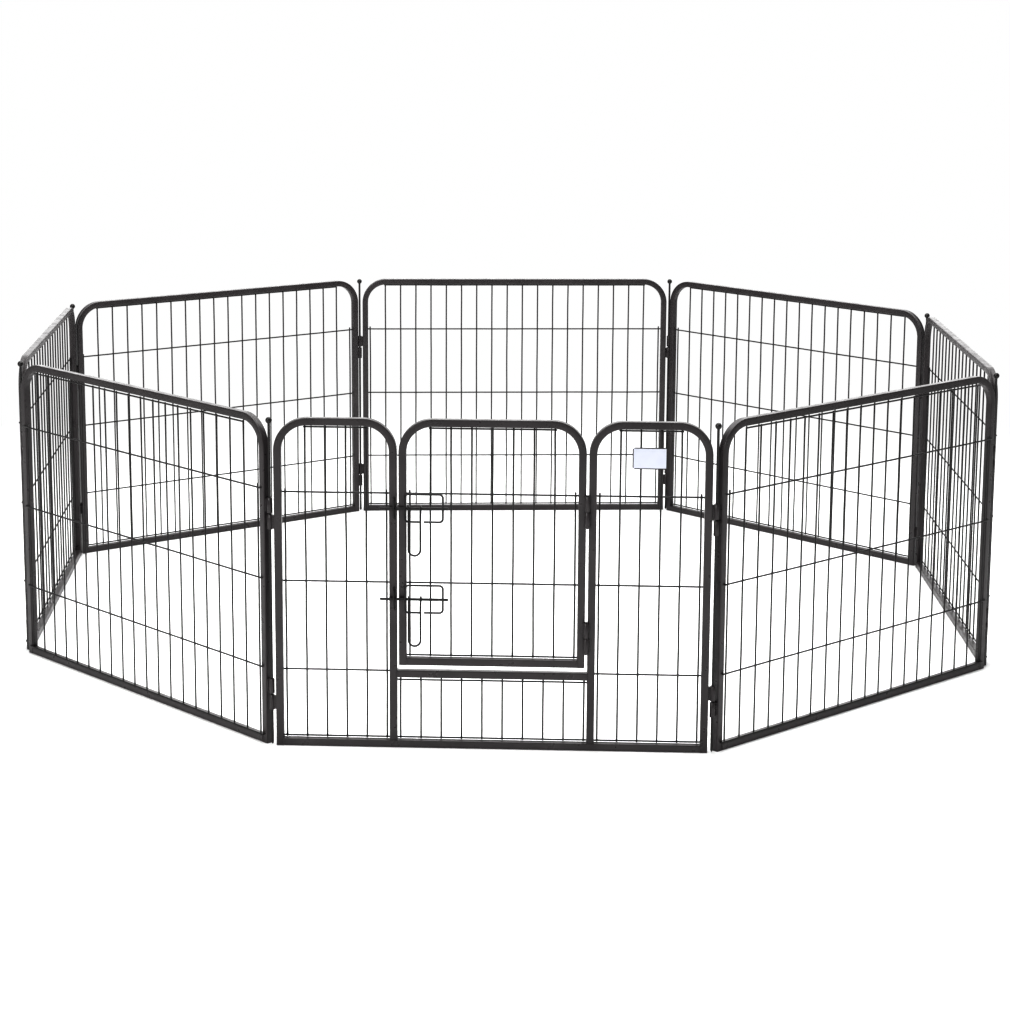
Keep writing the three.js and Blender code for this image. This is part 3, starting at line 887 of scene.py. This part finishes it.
def build_drop_pins():
    for node in frame["nodes"]:
        if node.startswith("pin_"):
            middle = middle_of(node)
            finish_mesh(drop_pin(), node, steel_coat, Matrix.Translation((middle.x, middle.y, 0)))


# ---------------------------------------------------------------- studio


def build_floor():
    """A wide pale floor. Away from the pen it runs out into the white of the backdrop."""
    paint = Paint("studio_floor")
    paint.put("Base Color", paint.blend(paint.noise(0.8, 3), (0.90, 0.90, 0.90), (0.93, 0.93, 0.93)))
    paint.put("Roughness", 0.75)
    paint.put("Specular IOR Level", 0.1)
    path = paint.nodes.new("ShaderNodeLightPath")
    away = paint.nodes.new("ShaderNodeVectorMath")
    away.operation = "DISTANCE"
    away.inputs[1].default_value = PEN_MIDDLE
    paint.links.new(paint.place, away.inputs[0])
    far = paint.span(away.outputs["Value"], *FLOOR_FADE)
    glow = paint.nodes.new("ShaderNodeEmission")
    glow.inputs["Strength"].default_value = 1.0
    mix = paint.nodes.new("ShaderNodeMixShader")
    output = paint.nodes["Material Output"]
    paint.links.new(paint.math("MULTIPLY", far, path.outputs["Is Camera Ray"]), mix.inputs[0])
    paint.links.new(paint.surface.outputs["BSDF"], mix.inputs[1])
    paint.links.new(glow.outputs["Emission"], mix.inputs[2])
    paint.links.new(mix.outputs["Shader"], output.inputs["Surface"])
    mesh = bpy.data.meshes.new("studio_floor")
    low, high = -FLOOR_REACH, FLOOR_REACH
    mesh.from_pydata([(low, low, 0), (high, low, 0), (high, high, 0), (low, high, 0)], [], [(0, 1, 2, 3)])
    mesh.materials.append(paint.material)
    floor = bpy.data.objects.new("studio_floor", mesh)
    bpy.context.scene.collection.objects.link(floor)


def build_sky():
    """White to the camera. As light, it is bright behind the pen and dim overhead, beside and in front."""
    world = bpy.data.worlds.new("studio")
    world.use_nodes = True
    bpy.context.scene.world = world
    nodes, links = world.node_tree.nodes, world.node_tree.links
    nodes.clear()
    output = nodes.new("ShaderNodeOutputWorld")
    mix = nodes.new("ShaderNodeMixShader")
    seen = nodes.new("ShaderNodeBackground")
    light = nodes.new("ShaderNodeBackground")
    path = nodes.new("ShaderNodeLightPath")
    place = nodes.new("ShaderNodeTexCoord")
    parts = nodes.new("ShaderNodeSeparateXYZ")
    back = nodes.new("ShaderNodeMapRange")
    seen.inputs["Color"].default_value = (1, 1, 1, 1)
    seen.inputs["Strength"].default_value = 1.0
    light.inputs["Color"].default_value = (1, 1, 1, 1)
    back.inputs["From Min"].default_value, back.inputs["From Max"].default_value = SKY_TURN
    back.inputs["To Min"].default_value = SKY_DIM
    back.inputs["To Max"].default_value = SKY_BRIGHT
    links.new(place.outputs["Generated"], parts.inputs["Vector"])
    links.new(parts.outputs["Y"], back.inputs["Value"])
    links.new(back.outputs["Result"], light.inputs["Strength"])
    links.new(path.outputs["Is Camera Ray"], mix.inputs["Fac"])
    links.new(light.outputs["Background"], mix.inputs[1])
    links.new(seen.outputs["Background"], mix.inputs[2])
    links.new(mix.outputs["Shader"], output.inputs["Surface"])


def soft_light(name, place, target, side, power):
    """A square lamp with sides of the given length, turned towards its target."""
    data = bpy.data.lights.new(name, "AREA")
    data.shape = "RECTANGLE"
    data.size, data.size_y = side, side
    data.energy = power
    lamp = bpy.data.objects.new(name, data)
    lamp.location = place
    lamp.rotation_euler = (Vector(target) - Vector(place)).to_track_quat("-Z", "Y").to_euler()
    bpy.context.scene.collection.objects.link(lamp)


def build_camera():
    """Stands in front of the pen, a little to its right, 1.4 m up and looking down at it."""
    yaw, pitch, roll = (math.radians(angle) for angle in CAMERA_ANGLES)
    ahead = Vector((math.sin(yaw) * math.cos(pitch), math.cos(yaw) * math.cos(pitch), -math.sin(pitch)))
    level = Vector((math.cos(yaw), -math.sin(yaw), 0))
    up = level.cross(ahead)
    right = level * math.cos(roll) + up * math.sin(roll)
    top = up * math.cos(roll) - level * math.sin(roll)
    data = bpy.data.cameras.new("photo_view")
    data.sensor_width = SENSOR_WIDTH
    data.lens = SENSOR_WIDTH * CAMERA_FOCAL
    data.shift_y = CAMERA_SHIFT
    data.clip_end = 300.0
    camera = bpy.data.objects.new("photo_view", data)
    turn = Matrix((right, top, -ahead)).transposed()
    camera.matrix_world = Matrix.Translation(Vector(CAMERA_PLACE)) @ turn.to_4x4()
    bpy.context.scene.collection.objects.link(camera)
    bpy.context.scene.camera = camera


build_plain_panels()
build_front_panel()
build_door_and_latches()
build_drop_pins()
build_floor()
build_sky()
for name, light in LIGHTS.items():
    soft_light(name, **light)
build_camera()
bpy.context.scene.view_settings.view_transform = "Standard"
bpy.context.scene.view_settings.gamma = CONTRAST
